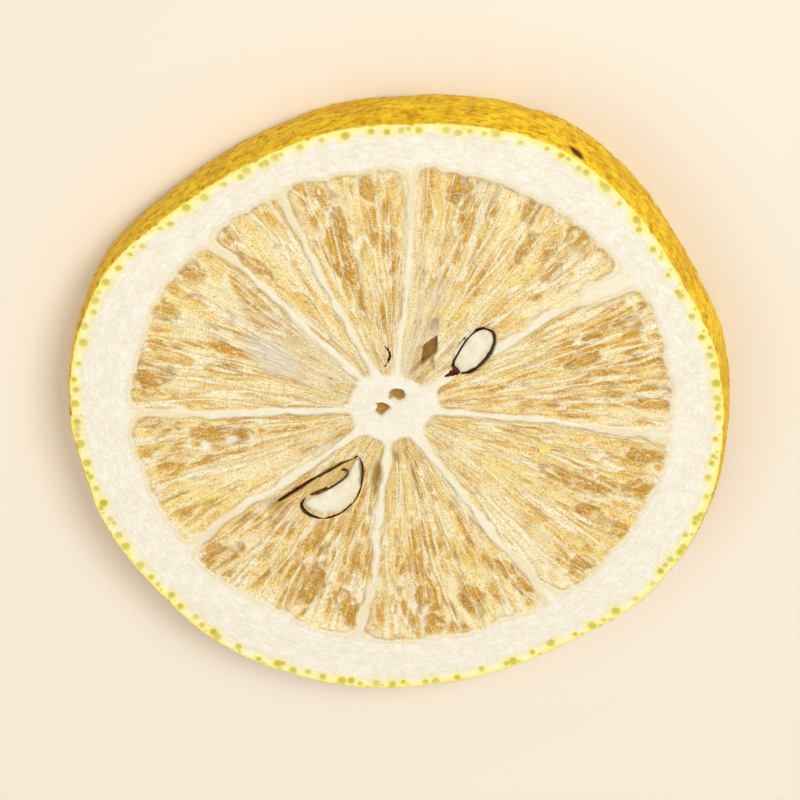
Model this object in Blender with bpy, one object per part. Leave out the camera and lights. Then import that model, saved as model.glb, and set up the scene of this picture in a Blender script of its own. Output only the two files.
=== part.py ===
"""One round slice of dried lemon, lying on its lower cut face.

The slice is one solid: a short drum with a wavy outline and a soft rim. Both cut faces have
nine shallow wedge hollows, where the pulp has shrunk below the thin walls between the
segments. The upper face also has the pits that seeds left and two pin holes in the core.

Metres, +Z up. The origin is the middle of the slice's box, on the face it lies on.
+Y is the side where the cut wall of the peel is seen best, +X is to its right.
"""

import math

import bmesh
import bpy
from mathutils import Matrix, Vector

# Driving dimensions of the slice
RADIUS = 0.0274
THICKNESS = 0.0052
RIM_ROUND = 0.00035
WALL_BULGE = 0.0003
LEAN = 0.0006
LEAN_ANGLE = math.radians(25.0)

# Slow waves of the outline: how many round the rim, how high, and the angle of one crest
OUTLINE_WAVES = (
    (2, 0.00010, 13.0),
    (3, 0.00023, -51.0),
    (4, 0.00048, -20.0),
    (7, 0.00010, 7.0),
    (8, 0.00012, 14.0),
    (13, 0.00005, 40.0),
)

# The core, the ring of pulp round it, and the walls between the segments
CORE_CENTRE = (-0.0004, 0.0008)
CORE_RADIUS = 0.0031
PULP_CENTRE = (0.0002, 0.0006)
PULP_RADIUS = 0.0227
WALL_ANGLES = (33.0, 86.0, 115.0, 134.5, 181.5, 218.0, 262.5, 305.5, 353.5)
WALL_WIDTH = 0.0006
NARROWEST_TIP = 0.0008
PULP_DEPTH = 0.00045
OUTER_CORNER = 0.0011
INNER_CORNER = 0.0003
FLOOR_ROUND = 0.0002

# Hollows in the upper face: centre, half length, half width, depth, angle of the long axis
SEED_HOLLOWS = (
    ((0.0062, 0.0061), 0.0028, 0.0015, 0.0012, 59.0),
    ((-0.0057, -0.0069), 0.0035, 0.0019, 0.0015, 46.0),
    ((0.0025, 0.0062), 0.0014, 0.0006, 0.0010, 65.0),
)
CORE_PITS = (
    ((-0.0001, 0.0020), 0.00055, 0.00045, 0.0009, 155.0),
    ((-0.0014, 0.0007), 0.00050, 0.00045, 0.0009, 60.0),
)

# How finely the round shapes are cut
RIM_STEPS = 144
WALL_STEPS = 5
ROUND_STEPS = 3
ARC_STEP = math.radians(4.5)
OUTER_CORNER_STEPS = 4
INNER_CORNER_STEPS = 2
BOWL_ROUND_STEPS = 16
BOWL_DOWN_STEPS = 10
CUTTER_CLEARANCE = 0.001
SAME_PLACE = 1e-6
SHARP_EDGE = math.radians(40.0)


def polar(centre, radius, angle):
    """The point at a distance and an angle from a centre, on the plane z = 0."""
    return Vector((centre[0] + radius * math.cos(angle), centre[1] + radius * math.sin(angle), 0.0))


def outline_radius(angle):
    """Distance from the middle of the fruit to the peel, at an angle round the slice."""
    waves = sum(height * math.cos(count * (angle - math.radians(crest)))
                for count, height, crest in OUTLINE_WAVES)
    return RADIUS + waves


def rim_profile():
    """The turned profile, from the upper face's edge down the peel to the lower face's edge."""
    half = THICKNESS / 2.0 - RIM_ROUND
    points = []
    for step in range(ROUND_STEPS + 1):
        turn = math.radians(90.0) * step / ROUND_STEPS
        across = RADIUS - RIM_ROUND * (1.0 - math.sin(turn))
        points.append(Vector((across, 0.0, THICKNESS - RIM_ROUND * (1.0 - math.cos(turn)))))
    for step in range(1, WALL_STEPS):
        height = half * (1.0 - 2.0 * step / WALL_STEPS)
        across = RADIUS + WALL_BULGE * (1.0 - (height / half) ** 2)
        points.append(Vector((across, 0.0, THICKNESS / 2.0 + height)))
    for step in range(ROUND_STEPS + 1):
        turn = math.radians(90.0) * step / ROUND_STEPS
        across = RADIUS - RIM_ROUND * (1.0 - math.cos(turn))
        points.append(Vector((across, 0.0, RIM_ROUND * (1.0 - math.sin(turn)))))
    return points


def peel_point(point):
    """Moves a point of the turned drum onto the wavy, slightly leaning peel."""
    angle = math.atan2(point.y, point.x)
    radius = Vector((point.x, point.y)).length - RADIUS + outline_radius(angle)
    lean = LEAN * (1.0 - point.z / THICKNESS)
    moved = polar((0.0, 0.0), radius, angle) + polar((0.0, 0.0), lean, LEAN_ANGLE)
    return Vector((moved.x, moved.y, point.z))


def drum_mesh():
    """The uncut slice: the turned profile, closed by two flat faces."""
    shape = bmesh.new()
    corners = [shape.verts.new(point) for point in rim_profile()]
    edges = [shape.edges.new(pair) for pair in zip(corners, corners[1:])]
    bmesh.ops.spin(shape, geom=corners + edges, cent=(0.0, 0.0, 0.0), axis=(0.0, 0.0, 1.0),
                   angle=math.tau, steps=RIM_STEPS, use_merge=True)
    bmesh.ops.holes_fill(shape, edges=shape.edges, sides=0)
    for corner in shape.verts:
        corner.co = peel_point(corner.co)
    bmesh.ops.recalc_face_normals(shape, faces=shape.faces)
    mesh = bpy.data.meshes.new("lemon_slice")
    shape.to_mesh(mesh)
    shape.free()
    return mesh


def reach_to_pith(angle):
    """Distance from the core's centre to the pith, along an angle."""
    ray = polar((0.0, 0.0), 1.0, angle)
    offset = Vector((CORE_CENTRE[0] - PULP_CENTRE[0], CORE_CENTRE[1] - PULP_CENTRE[1], 0.0))
    along = offset.dot(ray)
    return -along + math.sqrt(along ** 2 + PULP_RADIUS ** 2 - offset.length_squared)


def wall_half_angle(radius):
    """Half the angle that a segment wall takes up at a radius from the core."""
    return math.asin(WALL_WIDTH / 2.0 / radius)


def segment_outline(start, end):
    """Corner points of one segment, as seen from above, anticlockwise from its inner tip."""
    half_gap = (end - start) / 2.0
    tip = max(CORE_RADIUS, (WALL_WIDTH + NARROWEST_TIP) / (2.0 * math.sin(half_gap)))
    first = start + wall_half_angle(reach_to_pith(start))
    last = end - wall_half_angle(reach_to_pith(end))
    steps = max(3, round((last - first) / ARC_STEP))
    inner = [polar(CORE_CENTRE, tip, end - wall_half_angle(tip)),
             polar(CORE_CENTRE, tip, start + wall_half_angle(tip))]
    outer = [polar(CORE_CENTRE, reach_to_pith(angle), angle)
             for angle in (first + (last - first) * step / steps for step in range(steps + 1))]
    return inner + outer


def upright_edges(prism, places):
    """The upright edges of a prism that stand over some places of its outline."""
    return [edge for edge in prism.edges for place in places
            if all((corner.co - place).xy.length < SAME_PLACE for corner in edge.verts)]


def add_segment_prism(shape, outline, low, high, floor):
    """Adds a wedge prism with rounded corners, and a slanted edge round its floor."""
    prism = bmesh.new()
    base = prism.faces.new([prism.verts.new((point.x, point.y, low)) for point in outline])
    raised = bmesh.ops.extrude_face_region(prism, geom=[base])["geom"]
    top = [item for item in raised if isinstance(item, bmesh.types.BMVert)]
    bmesh.ops.translate(prism, verts=top, vec=(0.0, 0.0, high - low))
    tip_places = outline[:2]
    pith_places = [outline[2], outline[-1]]
    bmesh.ops.bevel(prism, geom=upright_edges(prism, pith_places), offset=OUTER_CORNER,
                    segments=OUTER_CORNER_STEPS, profile=0.5, affect="EDGES", material=-1)
    bmesh.ops.bevel(prism, geom=upright_edges(prism, tip_places), offset=INNER_CORNER,
                    segments=INNER_CORNER_STEPS, profile=0.5, affect="EDGES", material=-1)
    floor_edges = [edge for edge in prism.edges
                   if all(abs(corner.co.z - floor) < SAME_PLACE for corner in edge.verts)]
    bmesh.ops.bevel(prism, geom=floor_edges, offset=FLOOR_ROUND, segments=1, profile=0.5,
                    affect="EDGES", material=-1)
    bmesh.ops.recalc_face_normals(prism, faces=prism.faces)
    piece = bpy.data.meshes.new("segment_prism")
    prism.to_mesh(piece)
    prism.free()
    shape.from_mesh(piece)
    bpy.data.meshes.remove(piece)


def pulp_hollows_mesh():
    """Cutters for the sunken pulp: one prism for each segment of each face."""
    shape = bmesh.new()
    starts = [math.radians(angle) for angle in WALL_ANGLES]
    ends = starts[1:] + [starts[0] + math.tau]
    for start, end in zip(starts, ends):
        outline = segment_outline(start, end)
        upper_floor = THICKNESS - PULP_DEPTH
        add_segment_prism(shape, outline, upper_floor, THICKNESS + CUTTER_CLEARANCE, upper_floor)
        add_segment_prism(shape, outline, -CUTTER_CLEARANCE, PULP_DEPTH, PULP_DEPTH)
    mesh = bpy.data.meshes.new("pulp_hollows")
    shape.to_mesh(mesh)
    shape.free()
    return mesh


def bowl_mesh(name, hollows):
    """Cutters for round-bottomed hollows in the upper face."""
    shape = bmesh.new()
    for centre, half_length, half_width, depth, angle in hollows:
        place = (Matrix.Translation((centre[0], centre[1], THICKNESS))
                 @ Matrix.Rotation(math.radians(angle), 4, "Z")
                 @ Matrix.Diagonal((half_length, half_width, depth, 1.0)))
        bmesh.ops.create_uvsphere(shape, u_segments=BOWL_ROUND_STEPS, v_segments=BOWL_DOWN_STEPS,
                                  radius=1.0, matrix=place)
    mesh = bpy.data.meshes.new(name)
    shape.to_mesh(mesh)
    shape.free()
    return mesh


def dried_lemon_material():
    """One straw-gold finish for the solid."""
    material = bpy.data.materials.new("dried_lemon")
    material.use_nodes = True
    shader = material.node_tree.nodes["Principled BSDF"]
    shader.inputs["Base Color"].default_value = (0.80, 0.60, 0.26, 1.0)
    shader.inputs["Roughness"].default_value = 0.7
    shader.inputs["Metallic"].default_value = 0.0
    return material


def new_collection(name):
    """A collection linked to the scene."""
    collection = bpy.data.collections.new(name)
    bpy.context.scene.collection.children.link(collection)
    return collection


def box_middle(mesh):
    """How far the middle of a mesh's box lies from the axis, as a vector in the plane."""
    across = [corner.co.x for corner in mesh.vertices]
    along = [corner.co.y for corner in mesh.vertices]
    return Vector(((min(across) + max(across)) / 2.0, (min(along) + max(along)) / 2.0, 0.0))


def add_cutter(body, mesh, collection, shift):
    """Takes a cutter's shape out of the body."""
    mesh.transform(Matrix.Translation(shift))
    cutter = bpy.data.objects.new(mesh.name, mesh)
    collection.objects.link(cutter)
    cutter.hide_render = True
    cutter.display_type = "WIRE"
    cut = body.modifiers.new(mesh.name, "BOOLEAN")
    cut.operation = "DIFFERENCE"
    cut.object = cutter


def build():
    """Makes the slice, with its origin under the middle of its box."""
    for thing in list(bpy.data.objects):
        bpy.data.objects.remove(thing)
    parts = new_collection("lemon_slice")
    cutters = new_collection("cutters")
    mesh = drum_mesh()
    shift = -box_middle(mesh)
    mesh.transform(Matrix.Translation(shift))
    mesh.shade_smooth()
    mesh.set_sharp_from_angle(angle=SHARP_EDGE)
    mesh.materials.append(dried_lemon_material())
    body = bpy.data.objects.new("lemon_slice", mesh)
    parts.objects.link(body)
    add_cutter(body, pulp_hollows_mesh(), cutters, shift)
    add_cutter(body, bowl_mesh("seed_hollows", SEED_HOLLOWS), cutters, shift)
    add_cutter(body, bowl_mesh("core_pits", CORE_PITS), cutters, shift)


build()
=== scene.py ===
"""Looks of a round slice of dried lemon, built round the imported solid.

The slice is made of a ring of peel, a ring of pith, nine segments whose relief carries the
juice cells and the walls between them, a core, and two cut seeds. Lengths are in metres.
"""

import collections
import math

import bmesh
import bpy
import numpy as np
from mathutils import Matrix, Vector


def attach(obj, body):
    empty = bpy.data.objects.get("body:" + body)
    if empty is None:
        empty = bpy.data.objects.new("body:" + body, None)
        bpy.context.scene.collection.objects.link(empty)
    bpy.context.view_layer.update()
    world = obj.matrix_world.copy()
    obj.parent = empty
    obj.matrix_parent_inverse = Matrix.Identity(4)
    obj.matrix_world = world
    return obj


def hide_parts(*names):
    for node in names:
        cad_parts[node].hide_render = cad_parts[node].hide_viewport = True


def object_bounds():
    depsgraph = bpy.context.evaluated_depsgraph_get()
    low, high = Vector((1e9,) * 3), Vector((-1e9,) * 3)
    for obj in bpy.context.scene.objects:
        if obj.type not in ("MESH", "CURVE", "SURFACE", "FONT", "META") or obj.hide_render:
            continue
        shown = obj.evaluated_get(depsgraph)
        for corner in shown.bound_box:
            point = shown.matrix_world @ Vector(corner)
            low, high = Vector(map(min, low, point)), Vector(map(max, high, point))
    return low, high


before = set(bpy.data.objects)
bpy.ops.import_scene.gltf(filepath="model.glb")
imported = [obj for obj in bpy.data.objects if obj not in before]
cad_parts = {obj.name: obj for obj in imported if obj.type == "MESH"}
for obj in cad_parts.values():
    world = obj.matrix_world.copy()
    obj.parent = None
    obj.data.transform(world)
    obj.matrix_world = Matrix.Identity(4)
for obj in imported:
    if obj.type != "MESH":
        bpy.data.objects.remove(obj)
CAD_LOW, CAD_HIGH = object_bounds()
NODE = "lemon_slice"
BODY = "root"
MM = 0.001

# The slice's own measures, as its solid has them
THICKNESS = CAD_HIGH.z - CAD_LOW.z
RADIUS = 0.0274
RIM_ROUND = 0.00035
WALL_BULGE = 0.0003
LEAN = 0.0006
LEAN_ANGLE = math.radians(25.0)
OUTLINE_WAVES = (
    (2, 0.00010, 13.0),
    (3, 0.00023, -51.0),
    (4, 0.00048, -20.0),
    (7, 0.00010, 7.0),
    (8, 0.00012, 14.0),
    (13, 0.00005, 40.0),
)
OUTLINE_STEPS = 144
CORE_CENTRE = (-0.0004, 0.0008)
PULP_CENTRE = (0.0002, 0.0006)
PULP_RADIUS = 0.0227

# Segments in turn: the angle of the wall each starts at, that wall's width, its sideways swing in
# degrees, how much it widens at the pith, the tip's distance from the core, and the pulp's richness
Segment = collections.namedtuple("Segment", "wall width swing flare tip rich")
SEGMENTS = (
    Segment(33.0, 0.50 * MM, 1.0, 4.6, 2.70 * MM, 0.06),
    Segment(86.0, 0.38 * MM, -1.2, 0.9, 2.90 * MM, 0.12),
    Segment(115.0, 0.36 * MM, 1.0, 0.9, 3.30 * MM, -0.12),
    Segment(134.5, 0.39 * MM, -0.8, 0.9, 3.75 * MM, 0.00),
    Segment(181.5, 0.50 * MM, 0.6, 1.2, 3.60 * MM, 0.14),
    Segment(218.0, 0.46 * MM, -0.6, 0.6, 3.30 * MM, 0.26),
    Segment(262.5, 0.46 * MM, 1.2, 0.9, 2.90 * MM, 0.12),
    Segment(305.5, 0.54 * MM, -1.0, 1.1, 3.05 * MM, -0.14),
    Segment(353.5, 0.50 * MM, 0.9, 0.9, 3.70 * MM, 0.20),
)

# The wall that lies in a pale band of membranes, and how often the cells at the pith are missing
SOFT_WALL = 1
SOFT_WALL_REACH = 1.7 * MM
BEAD_GAPS = 0.55
UPPER_BEADS = 0.55

# The biggest amber cells of the upper face: x, y, half length, half width in millimetres, direction
AMBER_CELLS = (
    (-4.2, 15.3, 5.6, 0.60, 103.0), (-2.6, 21.5, 1.3, 0.75, 100.0), (-11.6, 14.1, 1.6, 0.60, -40.0),
    (-17.0, 13.4, 1.2, 0.95, 130.0), (-19.6, 10.1, 1.3, 0.95, 150.0), (-20.9, 4.0, 2.0, 1.30, 170.0),
    (-21.3, -0.5, 1.5, 0.75, 0.0), (-15.4, -1.7, 3.0, 0.85, -8.0), (-15.4, -14.0, 2.2, 1.00, 35.0),
    (-7.4, -16.8, 2.0, 0.90, 65.0), (-4.4, -19.1, 2.2, 0.90, 116.0), (14.6, 17.3, 1.6, 0.90, 50.0),
    (10.9, 19.2, 1.3, 0.70, 60.0), (4.9, 21.1, 1.7, 0.90, 80.0), (10.3, 15.8, 1.5, 0.60, 58.0),
    (12.6, 13.4, 1.2, 0.65, 48.0), (17.3, 8.3, 2.6, 0.45, 28.0), (21.2, 2.1, 1.7, 0.80, 10.0),
    (15.3, 5.2, 1.5, 0.60, 20.0), (20.6, -7.3, 1.6, 1.00, -10.0), (20.6, -3.8, 1.6, 0.70, -5.0),
    (15.6, -14.6, 0.95, 0.75, 0.0), (19.0, -11.3, 1.5, 0.80, -30.0), (10.6, -15.9, 2.0, 0.70, -60.0),
    (6.3, -18.2, 1.8, 1.00, -72.0), (3.2, -20.7, 1.1, 1.00, 0.0), (1.9, -18.2, 1.2, 0.70, 90.0),
    (14.6, -6.3, 3.0, 0.75, -25.0), (16.6, -9.8, 1.8, 0.65, -30.0),
)
PALE_FILMS = (
    (-14.6, 10.8, 2.8, 1.40, -45.0), (-8.7, 9.5, 4.0, 0.90, -50.0), (1.0, 14.9, 5.5, 1.10, 92.0),
    (13.3, 11.0, 4.5, 0.80, 40.0), (-12.0, -4.8, 4.0, 1.30, 28.0), (8.5, -8.5, 3.0, 1.00, -45.0),
)

# Beds of the two cut seeds in the upper face, in millimetres from the middle of the fruit
SEED_A_BED = {"centre": (6.25, 6.15), "half": (2.45, 1.45), "angle": 59.0}
SEED_B_BED = {"centre": (-5.70, -7.15), "half": (3.55, 1.80), "angle": 46.0}
SPINDLE_PIT = {"centre": (2.50, 6.25), "half": (1.45, 0.52), "angle": 64.0}


# ---------------------------------------------------------------- noise over a plane

def value_noise(across, along, seed):
    """Smooth random values from -1 to 1, one bump to a unit of each coordinate."""
    table = np.random.RandomState(seed).rand(256, 256) * 2.0 - 1.0
    column, row = np.floor(across).astype(int), np.floor(along).astype(int)
    u, v = across - column, along - row
    u, v = u * u * (3.0 - 2.0 * u), v * v * (3.0 - 2.0 * v)
    c0, c1, r0, r1 = column % 256, (column + 1) % 256, row % 256, (row + 1) % 256
    low = table[c0, r0] * (1.0 - u) + table[c1, r0] * u
    high = table[c0, r1] * (1.0 - u) + table[c1, r1] * u
    return low * (1.0 - v) + high * v


def fractal_noise(across, along, seed, octaves=3):
    """Value noise summed over finer and finer bumps."""
    total, weight, scale = 0.0, 1.0, 1.0
    for octave in range(octaves):
        total = total + weight * value_noise(across * scale, along * scale, seed + octave)
        weight, scale = weight * 0.5, scale * 2.0
    return total


def cell_noise(across, along, seed, jitter=(0.7, 0.8), wrap=256):
    """Distance to the nearest cell's middle, gap to the next cell, and that cell's own number."""
    table = np.random.RandomState(seed).rand(3, wrap, 256)
    column, row = np.floor(across).astype(int), np.floor(along).astype(int)
    nearest = np.full(across.shape, 9.0)
    second = np.full(across.shape, 9.0)
    owner = np.zeros(across.shape)
    for step_across in (-1, 0, 1):
        for step_along in (-1, 0, 1):
            c, r = column + step_across, row + step_along
            key_c, key_r = c % wrap, r % 256
            px = c + 0.5 + jitter[0] * (table[0, key_c, key_r] - 0.5)
            py = r + 0.5 + jitter[1] * (table[1, key_c, key_r] - 0.5)
            gap = np.hypot(across - px, along - py)
            closer = gap < nearest
            second = np.where(closer, nearest, np.minimum(second, gap))
            owner = np.where(closer, table[2, key_c, key_r], owner)
            nearest = np.where(closer, gap, nearest)
    return nearest, second - nearest, owner


def smooth_step(low, high, value):
    """0 below low, 1 above high, and a soft rise between."""
    t = np.clip((value - low) / (high - low), 0.0, 1.0)
    return t * t * (3.0 - 2.0 * t)


def soft_least(a, b, blend):
    """The lesser of two values, with the corner where they cross rounded off."""
    h = np.clip(0.5 + 0.5 * (b - a) / blend, 0.0, 1.0)
    return b * (1.0 - h) + a * h - blend * h * (1.0 - h)


def mixed(a, b, share):
    """a where share is 0, b where it is 1."""
    return a * (1.0 - share) + b * share


# ---------------------------------------------------------------- the slice's plan

def outline_radius(angle):
    """Distance from the middle of the fruit to the peel."""
    total = RADIUS + 0.0 * angle
    for count, height, crest in OUTLINE_WAVES:
        total = total + height * np.cos(count * (angle - math.radians(crest)))
    return total


def fruit_axis():
    """Where the middle of the fruit lies, from the solid's box and its outline."""
    angle = np.arange(OUTLINE_STEPS) * math.tau / OUTLINE_STEPS
    lows, highs = [], []
    for height in np.linspace(0.0, 1.0, 41):
        bulge = WALL_BULGE * (1.0 - (2.0 * height - 1.0) ** 2)
        reach = outline_radius(angle) + bulge
        x = reach * np.cos(angle) + LEAN * (1.0 - height) * math.cos(LEAN_ANGLE)
        y = reach * np.sin(angle) + LEAN * (1.0 - height) * math.sin(LEAN_ANGLE)
        lows.append((x.min(), y.min()))
        highs.append((x.max(), y.max()))
    low, high = np.min(lows, axis=0), np.max(highs, axis=0)
    box = (CAD_LOW + CAD_HIGH) / 2.0
    return np.array((box.x - (low[0] + high[0]) / 2.0, box.y - (low[1] + high[1]) / 2.0))


AXIS = fruit_axis()


def reach_to_pith(angle):
    """Distance from the core's centre to the pith, along an angle."""
    dx, dy = CORE_CENTRE[0] - PULP_CENTRE[0], CORE_CENTRE[1] - PULP_CENTRE[1]
    along = dx * np.cos(angle) + dy * np.sin(angle)
    return -along + np.sqrt(along ** 2 + PULP_RADIUS ** 2 - dx * dx - dy * dy)


def face_height(x, y, upper):
    """Height of the cut face of pith and walls; the two faces have their own unevenness."""
    seed = 11 if upper else 71
    swell = 0.055 * MM * (value_noise(x / (4.1 * MM) + 40.0, y / (4.1 * MM) + 40.0, seed) - 1.0)
    pores = 0.020 * MM * fractal_noise(x / (0.9 * MM) + 90.0, y / (0.9 * MM) + 90.0, seed + 5)
    drop = np.minimum(swell + pores - 0.03 * MM, -0.004 * MM)
    return THICKNESS + drop if upper else -drop


# ---------------------------------------------------------------- mesh helpers

def mesh_points(mesh):
    """A mesh's vertices as an array of rows."""
    flat = np.empty(len(mesh.vertices) * 3)
    mesh.vertices.foreach_get("co", flat)
    return flat.reshape(-1, 3)


def set_points(mesh, points):
    """Moves a mesh's vertices."""
    mesh.vertices.foreach_set("co", np.ascontiguousarray(points, dtype=np.float32).ravel())
    mesh.update()


def set_mask(mesh, name, values):
    """Stores one number at each vertex, for the materials to read."""
    layer = mesh.attributes.new(name, "FLOAT", "POINT")
    layer.data.foreach_set("value", np.ascontiguousarray(values, dtype=np.float32))


def set_run(mesh, across, along, up):
    """Stores the direction that fibres run in, as coordinates across, along and through."""
    layer = mesh.attributes.new("run", "FLOAT_VECTOR", "POINT")
    rows = np.stack((across, along, up), axis=1)
    layer.data.foreach_set("vector", np.ascontiguousarray(rows, dtype=np.float32).ravel())


def to_mesh(shape, name):
    """Turns a finished bmesh into a mesh with its faces pointing out."""
    bmesh.ops.recalc_face_normals(shape, faces=shape.faces)
    mesh = bpy.data.meshes.new(name)
    shape.to_mesh(mesh)
    shape.free()
    return mesh


def add_piece(mesh, name, material):
    """Puts a finished mesh in the scene as a piece of the slice."""
    mesh.shade_smooth()
    mesh.set_sharp_from_angle(angle=math.radians(70.0))
    mesh.materials.clear()
    mesh.materials.append(material)
    piece = bpy.data.objects.new(name, mesh)
    bpy.context.scene.collection.objects.link(piece)
    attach(piece, BODY)
    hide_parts(NODE)
    return piece


def sheet_body(columns, rows, name):
    """A closed slab of grid squares, one unit wide and deep: upper sheet at 0, lower at -1."""
    shape = bmesh.new()
    bmesh.ops.create_grid(shape, x_segments=columns, y_segments=rows, size=0.5)
    bmesh.ops.translate(shape, verts=shape.verts, vec=(0.5, 0.5, 0.0))
    pulled = bmesh.ops.extrude_face_region(shape, geom=shape.faces[:], use_keep_orig=True)
    lower = [item for item in pulled["geom"] if isinstance(item, bmesh.types.BMVert)]
    bmesh.ops.translate(shape, verts=lower, vec=(0.0, 0.0, -1.0))
    return to_mesh(shape, name)


def ring_body(profile, steps, name):
    """A closed ring: a profile of (distance out, height) corners turned once round the axis."""
    shape = bmesh.new()
    corners = [shape.verts.new((out, 0.0, height)) for out, height in profile]
    edges = [shape.edges.new((a, b)) for a, b in zip(corners, corners[1:] + corners[:1])]
    bmesh.ops.spin(shape, geom=corners + edges, cent=(0.0, 0.0, 0.0), axis=(0.0, 0.0, 1.0),
                   angle=math.tau, steps=steps, use_merge=True)
    return to_mesh(shape, name)


# ---------------------------------------------------------------- segments

def wall_angle(index, radius):
    """Angle of a segment wall's middle line at a distance from the core."""
    own = index % len(SEGMENTS)
    turn = math.tau * (index // len(SEGMENTS))
    bend = SEGMENTS[own].swing * np.sin(math.pi * radius / PULP_RADIUS)
    bend = bend + 0.8 * value_noise(radius / (3.1 * MM), 0.0 * radius + own, 7)
    bend = bend + 0.3 * value_noise(radius / (1.1 * MM), 0.0 * radius + own, 9)
    bend = bend * np.clip(radius / (5.0 * MM), 0.0, 1.0)
    return math.radians(SEGMENTS[own].wall) + turn + np.radians(bend)


def wall_width(index, radius):
    """Width of a segment wall, which widens where it meets the pith and the core."""
    own = SEGMENTS[index % len(SEGMENTS)]
    along = radius / PULP_RADIUS
    flare = 1.0 + own.flare * smooth_step(0.70, 1.06, along) + 0.3 * smooth_step(0.32, 0.10, along)
    rough = 1.0 + 0.50 * value_noise(radius / (1.3 * MM), 0.0 * radius + index % len(SEGMENTS), 23)
    return own.width * flare * rough


def in_oval(x, y, spec, grow=1.0):
    """Places in an oval's own frame, along and across it, each over its half size."""
    turn = math.radians(spec["angle"])
    dx, dy = x / MM - spec["centre"][0], y / MM - spec["centre"][1]
    along = (dx * math.cos(turn) + dy * math.sin(turn)) / (spec["half"][0] * grow)
    across = (-dx * math.sin(turn) + dy * math.cos(turn)) / (spec["half"][1] * grow)
    return along, across


def spot(x, y, centre, half, angle=0.0, edge=0.5):
    """1 inside an oval spot, fading to 0 over its edge."""
    along, across = in_oval(x, y, {"centre": centre, "half": half, "angle": angle})
    return 1.0 - smooth_step(1.0 - edge, 1.0 + edge, np.hypot(along, across))


def ridges(across, along, seed, width):
    """Thin wandering lines, 1 on a line and 0 away from it."""
    return 1.0 - smooth_step(0.15 * width, width, np.abs(value_noise(across, along, seed)))


def pulp_inset(radius, angle, index, scallop):
    """How far a place lies inside a segment's pulp, in millimetres, less than 0 in its walls."""
    start, end = wall_angle(index, radius), wall_angle(index + 1, radius)
    half_start, half_end = wall_width(index, radius) / 2.0, wall_width(index + 1, radius) / 2.0
    to_start = radius * np.sin(np.clip(angle - start, 0.0, 1.2)) - half_start
    to_end = radius * np.sin(np.clip(end - angle, 0.0, 1.2)) - half_end
    to_pith = reach_to_pith(angle) - 0.25 * MM + scallop * MM - radius
    to_core = radius - SEGMENTS[index].tip
    inside = soft_least(soft_least(to_start, to_end, 0.7 * MM), to_pith, 1.3 * MM)
    return soft_least(inside, to_core, 0.9 * MM) / MM


def pith_beads(across, angle, radius, seed):
    """Plump rounded cells that stand side by side along the pith, and the pale skin round each."""
    column = np.floor(across).astype(int)
    table = np.random.RandomState(seed + 33).rand(4, 256)
    present = table[0, column % 256] > BEAD_GAPS
    size = table[2, column % 256] ** 1.5
    half_long = 0.55 + 1.15 * size
    middle = 0.55 + half_long + 0.5 * table[1, column % 256]
    half_wide = 0.27 + 0.10 * table[3, column % 256] + 0.12 * size
    inward = (reach_to_pith(angle) - radius) / MM
    far = np.hypot((across - column - 0.5) / half_wide, (inward - middle) / half_long)
    wobble = 0.16 * value_noise(np.degrees(angle) / 1.6, radius / (0.8 * MM), seed + 34)
    bead = present * (1.0 - smooth_step(0.50, 1.0, far + wobble))
    skin = 0.6 * present * np.exp(-((far + wobble - 1.12) / 0.15) ** 2)
    return bead, skin


def face_cells(x, y):
    """The upper face's biggest amber cells, the skin and dark edge of each, and its pale films."""
    wobble = 0.26 * fractal_noise(x / (1.1 * MM) + 50.0, y / (1.1 * MM) + 50.0, 65)
    wobble = wobble + 0.16 * value_noise(x / (0.35 * MM) + 80.0, y / (0.35 * MM) + 80.0, 67)
    strength = 0.92 + 0.30 * value_noise(x / (1.9 * MM) + 20.0, y / (1.9 * MM) + 20.0, 69)
    cell, skin, edge, film = (0.0 * x for _ in range(4))
    for centre_x, centre_y, half_long, half_wide, turn in AMBER_CELLS:
        spec = {"centre": (centre_x, centre_y), "half": (half_long, half_wide), "angle": turn}
        far = np.hypot(*in_oval(x, y, spec)) + wobble
        cell = np.maximum(cell, 1.0 - smooth_step(0.60, 1.08, far))
        skin = np.maximum(skin, np.exp(-((far - 1.22) / 0.17) ** 2))
        edge = np.maximum(edge, np.exp(-((far - 0.88) / 0.13) ** 2))
    for centre_x, centre_y, half_long, half_wide, turn in PALE_FILMS:
        film = np.maximum(film, spot(x, y, (centre_x, centre_y), (half_long, half_wide), turn, 0.45))
    return cell * np.clip(strength, 0.0, 1.0), skin, edge, film


def grain_along(degrees, mm_r, seed):
    """Noise drawn out along the fibres."""
    return value_noise(degrees / 0.9, mm_r / 3.5, seed + 32)


def soft_band(radius, angle, index):
    """Pale band of thin membranes lying beside one of the walls."""
    band = 0.0 * angle
    for wall in (index, index + 1):
        if wall == SOFT_WALL:
            aside = radius * np.sin(np.clip(np.abs(angle - wall_angle(wall, radius)), 0.0, 1.2))
            band = np.maximum(band, np.exp(-(aside / SOFT_WALL_REACH) ** 2))
    return band


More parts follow.
